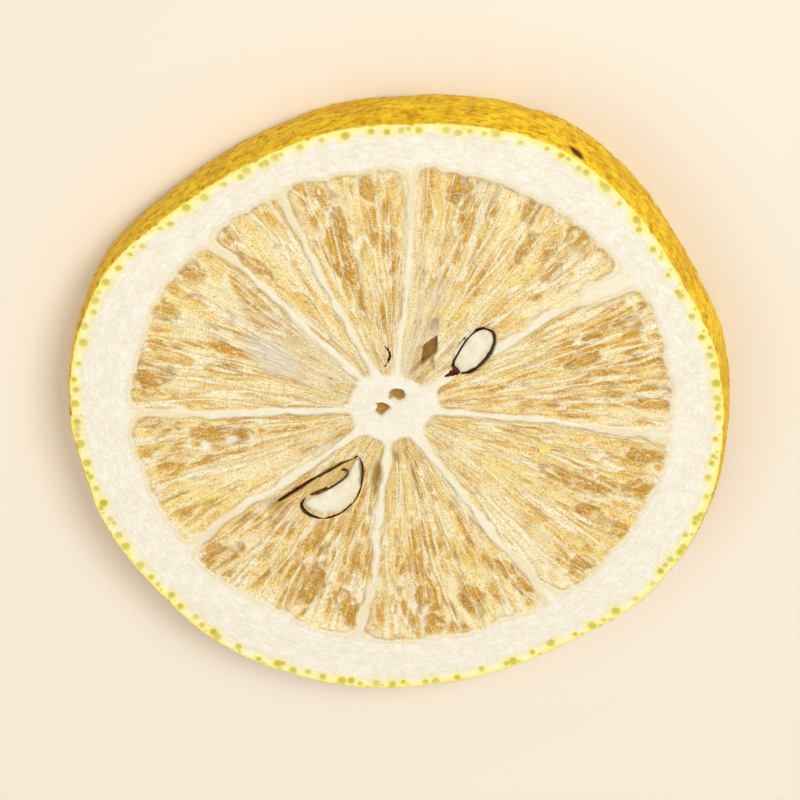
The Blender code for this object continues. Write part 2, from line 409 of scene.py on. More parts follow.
def segment_fields(x, y, radius, angle, index, upper):
    """Height and colour masks of one segment's cut face."""
    seed = 100 + 40 * index + (0 if upper else 500)
    mm_r = radius / MM
    degrees = np.degrees(angle)
    outward = smooth_step(5.0, 19.0, mm_r)

    # Juice cells stand in columns that point at the core, full near the pith and thin near the core
    warp = 0.50 * value_noise(degrees / 8.0, mm_r / 4.5, seed)
    warp = (warp + 0.20 * value_noise(degrees / 2.4, mm_r / 1.5, seed + 1)) * np.clip(mm_r / 12.0, 0.4, 1.0)
    across = degrees / 5.2 + warp
    along = mm_r / 5.8 + 0.50 * value_noise(degrees / 4.5, mm_r / 3.4, seed + 2)
    _, gap, tone = cell_noise(across, along, seed + 3, jitter=(0.65, 0.85))
    _, small_gap, small_tone = cell_noise(across * 2.2, along * 2.4, seed + 4, jitter=(0.8, 0.9))

    arch = np.sqrt(np.clip(1.0 - (2.0 * (across - np.floor(across)) - 1.0) ** 2, 0.0, 1.0))
    scallop = 0.30 * arch + 0.30 * value_noise(degrees / 7.0, 0.0 * degrees, seed + 5)
    inside = pulp_inset(radius, angle, index, scallop)
    ragged = 0.09 * fractal_noise(degrees / 1.7, mm_r / 0.8, seed + 6)
    skin = 1.0 - smooth_step(-0.06, 0.20, inside + ragged)
    line = np.exp(-((inside + 0.22) / 0.12) ** 2) * smooth_step(15.0, 18.0, mm_r)
    outline = np.exp(-((inside - 0.19) / 0.09) ** 2)
    outline = outline * smooth_step(-0.35, 0.45, value_noise(degrees / 3.4, mm_r / 1.9, seed + 38))
    outline = outline * (1.0 - 0.9 * soft_band(radius, angle, index))

    body = 0.5 + 0.5 * fractal_noise(degrees / 3.2, mm_r / 3.0, seed + 8)
    stripe = 0.5 + 0.5 * value_noise(degrees / 1.9 + warp, mm_r / 7.0, seed + 36)
    rich = 0.56 * tone + 0.12 * small_tone + 0.50 * body + 0.34 * outward
    rich = rich + 0.32 * (stripe - 0.3) + SEGMENTS[index].rich
    amber = smooth_step(0.72, 1.20, rich) * smooth_step(-0.05, 0.36, gap) * smooth_step(0.05, 0.5, inside)
    bead, bead_rim = pith_beads(across, angle, radius, seed)
    bead, bead_rim = bead * smooth_step(0.0, 0.4, inside), bead_rim * smooth_step(-0.2, 0.3, inside)
    dark_edge, film = 0.0 * x, 0.0 * x
    if upper:
        cell, cell_skin, dark_edge, film = face_cells(x, y)
        cell, dark_edge = cell * smooth_step(0.0, 0.3, inside), dark_edge * smooth_step(0.0, 0.3, inside)
        amber, bead = 0.85 * amber, np.maximum(UPPER_BEADS * bead, cell)
        bead_rim = np.maximum(UPPER_BEADS * bead_rim, 0.55 * cell_skin) * (1.0 - cell)
    amber = np.maximum(amber * (1.0 - bead_rim), 0.95 * bead)
    rim = np.maximum(1.0 - smooth_step(0.02, 0.15, gap), 0.0) * (1.0 - bead)
    rim = rim * smooth_step(-0.5, 0.5, value_noise(degrees / 5.0, mm_r / 2.6, seed + 11))
    patch = smooth_step(-0.3, 0.6, value_noise(degrees / 4.0, mm_r / 3.0, seed + 12))
    thread = ridges(degrees / 2.1 + warp, mm_r / 5.0, seed + 13, 0.26) * patch
    fine_width = 0.15 * np.clip(14.0 / mm_r, 0.7, 1.8)
    long_thread = ridges(degrees / 4.2 + 0.5 * warp, mm_r / 17.0, seed + 15, fine_width)
    long_thread = long_thread * smooth_step(-0.60, 0.0, value_noise(degrees / 3.0, mm_r / 7.0, seed + 18))
    thread = np.maximum.reduce((thread, long_thread, bead_rim)) * (1.0 - 0.9 * bead)
    hair = ridges(degrees / 1.2 + 1.6 * warp, mm_r / 2.6, seed + 14, 0.34)
    small_rim = (1.0 - smooth_step(0.0, 0.14, small_gap)) * (1.0 - patch)
    haze = smooth_step(0.15, 0.85, value_noise(degrees / 6.5, mm_r / 3.6, seed + 30)) * (1.0 - bead)
    torn = smooth_step(-0.7, 0.3, grain_along(degrees, mm_r, seed))
    haze = np.maximum(haze, soft_band(radius, angle, index) * torn)
    haze = np.maximum(haze, film)
    pale = np.maximum.reduce((rim, 0.95 * thread, 0.55 * hair, 0.5 * small_rim, 0.66 * haze))
    pale = np.clip(pale, 0.0, 1.0)
    # Thin creases, sunk a little and painted darker as shade
    shaded_crease = ridges(degrees / 1.5, mm_r / 2.4, seed + 16, 0.20)
    shaded_crease = shaded_crease * smooth_step(-0.2, 0.5, value_noise(degrees / 2.6, mm_r / 1.8, seed + 17))
    grain = fractal_noise(degrees / 1.3, mm_r / 0.55, seed + 20)
    broad = value_noise(degrees / 9.0, mm_r / 5.0, seed + 24)
    # Sparse white specks painted on as highlights, each raised a little
    speck_near, _, speck_own = cell_noise(degrees / 1.7, mm_r / 0.95, seed + 26, jitter=(0.9, 0.9))
    dense = 0.99 - 0.11 * smooth_step(0.2, 0.9, value_noise(degrees / 6.0, mm_r / 4.0, seed + 28))
    speck_size = 0.20 + 0.25 * (speck_own - dense) / (1.0 - dense)
    painted_glint = (speck_own > dense) * (1.0 - smooth_step(0.3 * speck_size, speck_size, speck_near))
    painted_glint = painted_glint * (1.0 - skin)

    sunk = 0.19 + 0.12 * amber - 0.09 * bead - 0.11 * rim - 0.09 * thread - 0.04 * hair + 0.06 * shaded_crease
    sunk = sunk + 0.040 * grain + 0.07 * broad - 0.10 * painted_glint
    sunk = np.clip(sunk, 0.04, 0.85) * smooth_step(-0.15, 0.60, inside)
    masks = {
        "amber": amber * (1.0 - 0.75 * pale),
        "thread": pale,
        "skin": skin,
        "tone": 0.40 * tone + 0.20 * small_tone + 0.40 * stripe,
        "painted_glint": painted_glint,
        "line": line,
        # brown: creases painted darker as shade, the dark edges of the big amber cells and a dark line just
        # inside the pulp's edge
        "brown": np.maximum.reduce((0.34 * shaded_crease, 0.40 * dark_edge, 0.42 * outline)) * (1.0 - skin),
        "olive": 0.0 * amber,
        "mauve": 0.0 * amber,
    }
    if upper:
        sunk = add_upper_marks(x, y, sunk, masks)
    level = face_height(x, y, upper)
    return (level - sunk * MM if upper else level + sunk * MM), masks


def add_upper_marks(x, y, sunk, masks):
    """The seeds' beds, a spindle pit, a slit painted dark as shade, painted highlights and the stains that
    only the upper face has.
    """
    along, across = in_oval(x, y, SEED_A_BED)
    bed_a = 1.0 - smooth_step(0.84, 1.04, np.hypot(along, across))
    along, across = in_oval(x, y, SEED_B_BED)
    bed_b = 1.0 - smooth_step(0.84, 1.06, np.hypot(along, across))
    wobble = 0.25 * value_noise(x / (0.5 * MM), y / (0.5 * MM), 61)
    along, across = in_oval(x, y, SPINDLE_PIT)
    across = across / np.clip(1.0 - np.abs(along) ** 1.6, 0.05, 1.0)
    pit = (1.0 - smooth_step(0.75, 1.25, np.abs(across) + wobble)) * (np.abs(along) < 1.0)
    tails = np.maximum(spot(x, y, (1.50, 4.75), (0.85, 0.15), 55.0),
                       spot(x, y, (2.75, 5.00), (0.75, 0.17), 98.0))
    # A groove beside a wall, painted dark as its shade
    slit = spot(x, y, (-8.5, -7.22), (2.1, 0.20), 36.0, 0.4)
    sunk = mixed(sunk, 1.15, bed_a)
    sunk = mixed(sunk, 0.46, bed_b)
    sunk = mixed(sunk, 0.75, pit)
    sunk = mixed(sunk, 0.60, slit)
    sunk = mixed(sunk, 0.50, tails)
    bare = 1.0 - np.maximum.reduce((bed_a, bed_b, pit))
    for name in ("skin", "amber", "painted_glint", "line", "thread"):
        masks[name] = masks[name] * bare
    masks["amber"] = np.maximum(masks["amber"], 0.8 * pit)
    # Two painted highlights beside an amber cell
    masks["painted_glint"] = np.maximum.reduce((
        masks["painted_glint"],
        spot(x, y, (-14.1, -2.4), (0.55, 0.35), 20.0, 0.5),
        spot(x, y, (-16.3, -2.9), (0.45, 0.30), -30.0, 0.5),
    ))
    veins = np.clip(0.5 + fractal_noise(x / (0.5 * MM) + 30.0, y / (0.9 * MM) + 30.0, 63), 0.0, 1.0)
    smooth = 1.0 - 0.85 * spot(x, y, (-10.4, 5.5), (2.9, 1.35), -38.0, 0.30)
    for name in ("amber", "thread", "painted_glint", "brown"):
        masks[name] = masks[name] * smooth
    # brown also paints the slit dark as its shade
    masks["brown"] = np.maximum.reduce((
        masks["brown"] * bare, 0.42 * pit, 0.80 * slit, 0.50 * tails, 0.06 * bed_b, 0.20 * bed_a,
        0.60 * spot(x, y, (3.1, 9.1), (1.0, 0.6), 70.0, 0.9) * veins,
    ))
    masks["olive"] = np.maximum.reduce((
        0.60 * spot(x, y, (-10.5, -8.6), (0.9, 0.55), 40.0, 0.7),
        0.65 * spot(x, y, (-1.9, -5.9), (1.6, 0.42), 82.0, 0.6),
        0.60 * spot(x, y, (-0.2, -3.9), (0.6, 0.32), 120.0, 0.7),
        0.80 * pit, 0.14 * bed_b,
    ))
    masks["mauve"] = np.maximum.reduce((
        0.95 * spot(x, y, (-10.4, 5.5), (2.9, 1.35), -38.0, 0.40),
        0.35 * spot(x, y, (-8.5, 6.0), (6.0, 2.4), -40.0, 0.8),
        0.75 * spot(x, y, (2.6, 9.8), (3.2, 1.2), 72.0, 0.8) * veins,
        0.45 * spot(x, y, (1.2, 6.4), (3.0, 1.0), 76.0, 0.8),
        0.35 * spot(x, y, (-9.0, -9.6), (1.6, 0.8), 40.0, 0.8),
    ))
    return sunk


def make_segment(index, material):
    """One segment of pulp, from the core to the pith, with half of each wall beside it."""
    wide = math.degrees(wall_angle(index + 1, PULP_RADIUS) - wall_angle(index, PULP_RADIUS))
    columns = round(wide / SEGMENT_STEP_DEGREES)
    mesh = sheet_body(columns, SEGMENT_ROWS, f"segment_{index + 1}")
    place = mesh_points(mesh)
    inner = SEGMENT_START
    radius = inner + place[:, 1] * 0.0
    for _ in range(3):
        angle = mixed(wall_angle(index, radius), wall_angle(index + 1, radius), place[:, 0])
        radius = mixed(inner, reach_to_pith(angle) + 0.9 * MM, place[:, 1])
    angle = mixed(wall_angle(index, radius), wall_angle(index + 1, radius), place[:, 0])
    x = CORE_CENTRE[0] + radius * np.cos(angle)
    y = CORE_CENTRE[1] + radius * np.sin(angle)
    top, top_masks = segment_fields(x, y, radius, angle, index, True)
    base, base_masks = segment_fields(x, y, radius, angle, index, False)
    upper = place[:, 2] > -0.5
    past = (radius - reach_to_pith(angle)) / MM
    dip = 0.05 * MM * (smooth_step(0.45, 0.9, past) + smooth_step(0.6, 0.0, (radius - inner) / MM))
    height = np.where(upper, top - dip, base + dip)
    set_mask(mesh, "warm", smooth_step(0.5, -0.3, past) * smooth_step(0.4, 2.4, (radius - inner) / MM))
    set_points(mesh, np.stack((x + AXIS[0], y + AXIS[1], height), axis=1))
    for name in top_masks:
        set_mask(mesh, name, np.where(upper, top_masks[name], base_masks[name]))
    set_run(mesh, np.degrees(angle), radius / MM, height / MM)
    return add_piece(mesh, f"segment_{index + 1}", material)


# ---------------------------------------------------------------- core and pith

SEGMENT_START = 2.2 * MM
CORE_REACH = 3.0 * MM
CORE_PITS = (
    {"centre": (-0.08, 1.98), "half": (0.84, 0.62), "angle": 155.0},
    {"centre": (-1.42, 0.70), "half": (0.74, 0.60), "angle": 60.0},
)


def make_core(material):
    """The white core: a low disc with two pits, which the segment walls run into."""
    rows = 30
    shape = bmesh.new()
    corners = [shape.verts.new((CORE_REACH * row / rows, 0.0, 0.0)) for row in range(rows + 1)]
    edges = [shape.edges.new(pair) for pair in zip(corners, corners[1:])]
    bmesh.ops.spin(shape, geom=corners + edges, cent=(0.0, 0.0, 0.0), axis=(0.0, 0.0, 1.0),
                   angle=math.tau, steps=180, use_merge=True)
    bmesh.ops.remove_doubles(shape, verts=shape.verts, dist=1e-7)
    pulled = bmesh.ops.extrude_face_region(shape, geom=shape.faces[:], use_keep_orig=True)
    lower = [item for item in pulled["geom"] if isinstance(item, bmesh.types.BMVert)]
    bmesh.ops.translate(shape, verts=lower, vec=(0.0, 0.0, -1.0))
    mesh = to_mesh(shape, "core")
    place = mesh_points(mesh)
    radius = np.hypot(place[:, 0], place[:, 1])
    angle = np.arctan2(place[:, 1], place[:, 0])
    x, y = CORE_CENTRE[0] + place[:, 0], CORE_CENTRE[1] + place[:, 1]
    upper = place[:, 2] > -0.5
    dip = 0.05 * MM * smooth_step(CORE_REACH / MM - 0.5, CORE_REACH / MM, radius / MM)
    wobble = 1.0 + 0.35 * value_noise(x / (0.4 * MM) + 7.0, y / (0.4 * MM) + 7.0, 5)
    pits = 0.0 * x
    for pit in CORE_PITS:
        across = np.hypot(*in_oval(x, y, pit)) * wobble
        pits = np.maximum(pits, 1.0 - smooth_step(0.45, 1.10, across))
    top = face_height(x, y, True) - dip - 0.60 * MM * pits
    base = face_height(x, y, False) + dip
    height = np.where(upper, top, base)
    set_points(mesh, np.stack((x + AXIS[0], y + AXIS[1], height), axis=1))
    pits = np.where(upper, pits, 0.0)
    masks = {name: 0.0 * x for name in ("thread", "painted_glint", "line", "mauve", "warm")}
    masks["amber"] = pits
    masks["tone"] = 0.0 * x + 0.5
    masks["skin"] = 1.0 - smooth_step(0.15, 0.55, pits)
    masks["brown"] = 0.02 * smooth_step(0.2, 0.9, pits)
    masks["olive"] = 0.50 * smooth_step(0.1, 0.6, pits)
    for name, values in masks.items():
        set_mask(mesh, name, values)
    set_run(mesh, np.degrees(angle), radius / MM, height / MM)
    return add_piece(mesh, "core", material)


def make_pith_ring(material):
    """The ring of white pith between the pulp and the peel."""
    rows = 22
    profile = [(1.0 + row / rows, 0.0) for row in range(rows + 1)]
    profile += [(1.0 + row / rows, -1.0) for row in range(rows, -1, -1)]
    mesh = ring_body(profile, RING_STEPS, "pith_ring")
    place = mesh_points(mesh)
    angle = np.arctan2(place[:, 1], place[:, 0])
    out = np.hypot(place[:, 0], place[:, 1]) - 1.0
    upper = place[:, 2] > -0.5
    inner_x = PULP_CENTRE[0] + (PULP_RADIUS + 0.25 * MM) * np.cos(angle)
    inner_y = PULP_CENTRE[1] + (PULP_RADIUS + 0.25 * MM) * np.sin(angle)
    outer = outline_radius(angle) - 0.9 * MM
    lean = np.where(upper, 0.0, LEAN)
    outer_x = outer * np.cos(angle) + lean * math.cos(LEAN_ANGLE)
    outer_y = outer * np.sin(angle) + lean * math.sin(LEAN_ANGLE)
    x, y = mixed(inner_x, outer_x, out), mixed(inner_y, outer_y, out)
    dip = 0.05 * MM * (1.0 - smooth_step(0.0, 0.10, out)) + 0.25 * MM * smooth_step(0.9, 1.0, out)
    height = np.where(upper, face_height(x, y, True) - dip, face_height(x, y, False) + dip)
    set_points(mesh, np.stack((x + AXIS[0], y + AXIS[1], height), axis=1))
    set_run(mesh, np.degrees(angle), np.hypot(x, y) / MM, height / MM)
    return add_piece(mesh, "pith_ring", material)


# ---------------------------------------------------------------- peel

PEEL_FACE = 1.6 * MM
SCAR_ANGLE = 59.5
GLAND_SPACING = (1.9, 4.9)


def peel_profile():
    """Corners of the peel ring's section: over the upper face, down the wall, under, and back."""
    face_rows, round_rows, wall_rows = 14, 4, 32
    half = THICKNESS / 2.0 - RIM_ROUND
    points = [(-PEEL_FACE + (PEEL_FACE - RIM_ROUND) * row / face_rows, THICKNESS)
              for row in range(face_rows)]
    for row in range(round_rows + 1):
        turn = math.pi / 2.0 * row / round_rows
        points.append((-RIM_ROUND * (1.0 - math.sin(turn)),
                       THICKNESS - RIM_ROUND * (1.0 - math.cos(turn))))
    for row in range(1, wall_rows):
        height = half * (1.0 - 2.0 * row / wall_rows)
        points.append((WALL_BULGE * (1.0 - (height / half) ** 2), THICKNESS / 2.0 + height))
    for row in range(round_rows + 1):
        turn = math.pi / 2.0 * row / round_rows
        points.append((-RIM_ROUND * (1.0 - math.cos(turn)), RIM_ROUND * (1.0 - math.sin(turn))))
    points += [(-RIM_ROUND - (PEEL_FACE - RIM_ROUND) * row / face_rows, 0.0)
               for row in range(1, face_rows + 1)]
    return points


def gland_places(seed):
    """Oil glands that the cut has opened: angle, distance in from the rim, size and strength."""
    random = np.random.RandomState(seed)
    places, angle = [], 0.0
    while angle < 360.0:
        angle += random.uniform(*GLAND_SPACING) * (0.40 if random.rand() < 0.25 else 1.0)
        places.append((math.radians(angle), random.uniform(0.45, 0.90) * MM,
                       random.uniform(0.22, 0.46) * MM, random.uniform(0.55, 1.0)))
        if random.rand() < 0.35:
            places.append((math.radians(angle + random.uniform(0.4, 1.4)),
                           random.uniform(0.22, 0.50) * MM, 0.13 * MM, random.uniform(0.5, 1.0)))
    return places


def make_peel(material):
    """The golden peel: the wall round the slice and its cut edge on both faces."""
    profile = peel_profile()
    mesh = ring_body([(1.0 + out, height) for out, height in profile], PEEL_STEPS, "peel")
    place = mesh_points(mesh)
    angle = np.arctan2(place[:, 1], place[:, 0])
    out = np.hypot(place[:, 0], place[:, 1]) - 1.0
    height = place[:, 2].copy()
    rim = outline_radius(angle)
    arc = angle * RADIUS / MM
    level = height / MM

    # How much of a place is skin: nothing in the pith, all of it on the wall
    inset = -out / MM
    ragged = 0.16 * fractal_noise(arc / 1.1 + 300.0, level + 3.0, 31)
    skin = 1.0 - smooth_step(0.0, 1.25, inset + ragged * smooth_step(0.1, 0.4, inset))

    # Pores, wrinkles and dents of the wall
    wrap = round(math.tau * RADIUS / MM / 1.0)
    across = (angle / math.tau + 1.0) * wrap + 0.35 * value_noise(arc / 1.7 + 300.0, level / 1.4, 33)
    near, _, own = cell_noise(across, level / 1.0 + 7.0, 37, jitter=(0.95, 0.95), wrap=wrap)
    pore = (1.0 - smooth_step(0.10 * own, 0.12 + 0.30 * own, near)) * smooth_step(0.15, 0.5, own)
    _, gap_fine, _ = cell_noise(across * 2.0, level / 0.5 + 3.0, 43, jitter=(0.95, 0.95), wrap=2 * wrap)
    dents = np.maximum(0.0, fractal_noise(arc / 3.3 + 300.0, level / 2.2 + 5.0, 47))
    wrinkle = np.abs(fractal_noise(arc / 1.5 + 300.0, level / 0.45 + 5.0, 53))
    on_wall = smooth_step(-0.45, -0.05, out / MM)
    push = 0.10 * pore + 0.035 * smooth_step(0.45, 0.05, gap_fine) + 0.15 * dents + 0.045 * wrinkle
    radius = rim + out - push * MM * on_wall

    # Opened glands in the cut edge
    gland, halo, dent = 0.0 * arc, 0.0 * arc, 0.0 * arc
    for upper_side, seed in ((True, 19), (False, 20)):
        side = (level > THICKNESS / MM / 2.0) == upper_side
        for where, depth, size, strength in gland_places(seed):
            apart = (angle - where + math.pi) % math.tau - math.pi
            far = np.hypot(apart * RADIUS, (-out - depth)) / size
            close = side & (far < 3.2) & (out < -0.05 * MM)
            ring = far[close]
            gland[close] = np.maximum(gland[close], strength * (1.0 - smooth_step(0.55, 1.15, ring)))
            halo[close] = np.maximum(halo[close], strength * (1.0 - smooth_step(1.0, 3.0, ring)))
            dent[close] = np.maximum(dent[close], 1.0 - smooth_step(0.3, 1.2, ring))
    lean = LEAN * (1.0 - height / THICKNESS)
    x = radius * np.cos(angle) + lean * math.cos(LEAN_ANGLE)
    y = radius * np.sin(angle) + lean * math.sin(LEAN_ANGLE)
    upper = level > THICKNESS / MM / 2.0
    surface = np.where(upper, face_height(x, y, True) - THICKNESS, face_height(x, y, False))
    lip = 0.03 * MM * smooth_step(0.9, 0.4, inset)
    share = smooth_step(-0.1, 0.35, inset)
    down = (surface - np.where(upper, -lip, lip)) * share
    down = np.where(upper, np.minimum(down, 0.0), np.maximum(down, 0.0))
    cut = 0.10 * MM * dent
    edge = np.where(upper, -1.0, 1.0)
    dip = 0.3 * MM * smooth_step(PEEL_FACE / MM - 0.2, PEEL_FACE / MM, inset)
    height = height + down + edge * (cut + dip)
    set_points(mesh, np.stack((x + AXIS[0], y + AXIS[1], height), axis=1))
    turn = (np.degrees(angle) - SCAR_ANGLE) / 1.9
    scar = np.hypot(turn, (level - THICKNESS / MM + 0.75 + 0.25 * turn) / 0.42)
    ragged = 1.0 + 0.3 * value_noise(arc * 3.0 + 500.0, level * 3.0, 57)
    scar = (1.0 - smooth_step(0.5, 1.1, scar * ragged)) * on_wall
    set_mask(mesh, "rind", skin)
    set_mask(mesh, "gland", gland)
    set_mask(mesh, "halo", halo)
    set_mask(mesh, "pore", pore * on_wall)
    set_mask(mesh, "brown", scar)
    # The peel's colour darkens these dents as painted shade
    set_mask(mesh, "dent", np.clip(dents, 0.0, 1.0) * on_wall)
    set_run(mesh, arc, level, out / MM)
    return add_piece(mesh, "peel", material)


# ---------------------------------------------------------------- seeds

# Middle lines of the seeds' parts: each point is x, y and half width, in millimetres
SEED_A_SKIN = (
    (5.05, 3.90, 0.12), (6.10, 4.30, 0.13), (7.00, 5.15, 0.11), (7.65, 6.20, 0.09), (7.92, 7.20, 0.08),
    (7.75, 7.95, 0.07), (7.10, 8.30, 0.04), (6.40, 8.05, 0.03), (5.75, 7.40, 0.04), (5.20, 6.50, 0.07),
    (4.75, 5.60, 0.10), (4.50, 4.90, 0.14), (4.60, 4.30, 0.18),
)
SEED_A_TIP = ((4.95, 4.45, 0.45), (4.50, 4.15, 0.42), (4.10, 3.95, 0.22), (3.75, 3.80, 0.08))
SEED_A_KERNEL = ((4.65, 4.15, 1.30), (6.25, 6.20, 1.36), (7.60, 8.30, 1.20))
SEED_B_SKIN = (
    (-3.39, -3.95, 0.04), (-3.12, -4.90, 0.10), (-3.12, -6.20, 0.10), (-3.45, -7.70, 0.07),
    (-4.40, -9.05, 0.06), (-5.60, -9.85, 0.06), (-6.90, -9.98, 0.07), (-7.85, -9.60, 0.12),
    (-8.28, -8.80, 0.13), (-7.95, -8.10, 0.05),
)
SEED_B_FOLD = (
    (-7.60, -7.85, 0.05), (-6.90, -7.60, 0.15), (-6.20, -7.28, 0.13), (-5.60, -6.98, 0.04),
    (-4.90, -6.42, 0.03), (-4.35, -5.75, 0.03), (-4.45, -5.38, 0.03), (-4.90, -5.35, 0.02),
)
SEED_B_EDGE = (
    (-3.30, -3.82, 0.04), (-4.30, -4.38, 0.05), (-5.20, -4.95, 0.05), (-6.10, -5.53, 0.06),
    (-6.90, -6.08, 0.03),
)
SEED_B_KERNEL = (
    (-3.45, -4.10, 0.30), (-3.72, -5.60, 0.55), (-4.12, -6.95, 0.95), (-5.00, -8.05, 1.28),
    (-6.25, -8.70, 1.30), (-8.10, -8.80, 1.00),
)
SKIN_SCRAP = (
    (-1.28, 6.80, 0.06), (-0.90, 6.20, 0.10), (-0.77, 5.70, 0.11), (-0.98, 5.10, 0.10),
    (-1.30, 4.58, 0.05),
)
# A dark sliver laid in the slit beside a wall: painted shade of the crack
SLIT_SHADE_SLIVER = (
    (-6.70, -5.90, 0.03), (-7.60, -6.58, 0.07), (-8.55, -7.28, 0.10), (-9.40, -7.90, 0.07),
    (-10.30, -8.50, 0.03),
)
CRUMB = ((11.80, -3.50, 0.30), (12.30, -3.35, 0.42), (12.80, -3.30, 0.30))


def along_curve(points, share):
    """A smooth curve through a few points, read at shares of its run from 0 to 1."""
    rows = np.array(points)
    rows = np.vstack((2.0 * rows[0] - rows[1], rows, 2.0 * rows[-1] - rows[-2]))
    place = np.clip(share, 0.0, 1.0) * (len(points) - 1)
    index = np.minimum(place.astype(int), len(points) - 2)
    t = (place - index)[:, None]
    a, b, c, d = (rows[index + step] for step in range(4))
    curve = 2.0 * b + (c - a) * t + (2.0 * a - 5.0 * b + 4.0 * c - d) * t ** 2
    return 0.5 * (curve + (3.0 * b - a - 3.0 * c + d) * t ** 3)


def make_seed_part(name, spine, top, depth, material, blunt, seed, long_steps=64):
    """A part of a seed that follows a middle line: a thin skin, or a plump kernel if not blunt."""
    shape = bmesh.new()
    bmesh.ops.create_uvsphere(shape, u_segments=24 if blunt else 64, v_segments=long_steps, radius=1.0)
    bmesh.ops.rotate(shape, verts=shape.verts, matrix=Matrix.Rotation(math.pi / 2.0, 3, "Y"))
    mesh = to_mesh(shape, name)
    place = mesh_points(mesh)
    sweep = np.arccos(np.clip(-place[:, 0], -1.0, 1.0)) / math.pi
    swell = np.sin(math.pi * sweep)
    share = sweep if blunt else (place[:, 0] + 1.0) / 2.0
    fullness = np.minimum(1.0, swell / 0.22) ** 0.6 if blunt else swell
    section = place[:, 1:] / np.maximum(swell, 1e-6)[:, None]
    section = np.sign(section) * np.abs(section) ** 0.8
    centre = along_curve(spine, share)
    ahead = along_curve(spine, np.minimum(share + 0.01, 1.0))
    behind = along_curve(spine, np.maximum(share - 0.01, 0.0))
    step = ahead - behind
    length = np.hypot(step[:, 0], step[:, 1])
    side = np.stack((-step[:, 1] / length, step[:, 0] / length), axis=1)
    uneven = 1.0 + 0.18 * value_noise(share * 14.0 + 5.0, 0.0 * share, seed)
    reach = (section[:, 0] * fullness * centre[:, 2] * uneven)[:, None]
    flat = centre[:, :2] + side * reach
    wrinkle = 0.05 * fractal_noise(flat[:, 0] / 0.6 + 40.0, flat[:, 1] / 0.6 + 40.0, seed + 1)
    half_deep = depth / 2.0
    height = top - half_deep + half_deep * section[:, 1] * fullness ** 0.5 + wrinkle * (section[:, 1] > 0.0)
    height = np.minimum(height, -0.01) * MM + THICKNESS
    set_points(mesh, np.stack((flat[:, 0] * MM + AXIS[0], flat[:, 1] * MM + AXIS[1], height), axis=1))
    return add_piece(mesh, name, material)


def make_seeds(dark, brown, tip, cream, crumb):
    """Two cut seeds with their skins and kernels, a scrap of skin, a dark sliver in a slit as painted
    shade, and a crumb.
    """
    make_seed_part("seed_a_kernel", SEED_A_KERNEL, -0.16, 0.90, cream, False, 5)
    make_seed_part("seed_a_skin", SEED_A_SKIN, -0.08, 0.90, dark, True, 3, 160)
    make_seed_part("seed_a_tip", SEED_A_TIP, -0.05, 0.70, tip, True, 7)
    make_seed_part("seed_b_kernel", SEED_B_KERNEL, -0.18, 0.90, cream, False, 11)
    make_seed_part("seed_b_skin", SEED_B_SKIN, -0.08, 0.90, dark, True, 9, 160)
    make_seed_part("seed_b_fold", SEED_B_FOLD, -0.16, 0.80, brown, True, 13, 128)
    make_seed_part("seed_b_edge", SEED_B_EDGE, -0.10, 0.80, brown, True, 15)
    make_seed_part("skin_scrap", SKIN_SCRAP, -0.12, 0.50, dark, True, 17)
    # A dark sliver of painted shade in the slit, in the seed tip's red-brown
    make_seed_part("slit_shade_sliver", SLIT_SHADE_SLIVER, -0.30, 0.50, tip, True, 19)
    make_seed_part("crumb", CRUMB, -0.02, 0.60, crumb, True, 21)


# ---------------------------------------------------------------- material helpers

def srgb(red, green, blue):
    """A colour given as 0 to 255 screen values, as the linear values a shader takes."""
    def linear(value):
        value = value / 255.0
        return value / 12.92 if value <= 0.04045 else ((value + 0.055) / 1.055) ** 2.4
    return (linear(red), linear(green), linear(blue), 1.0)


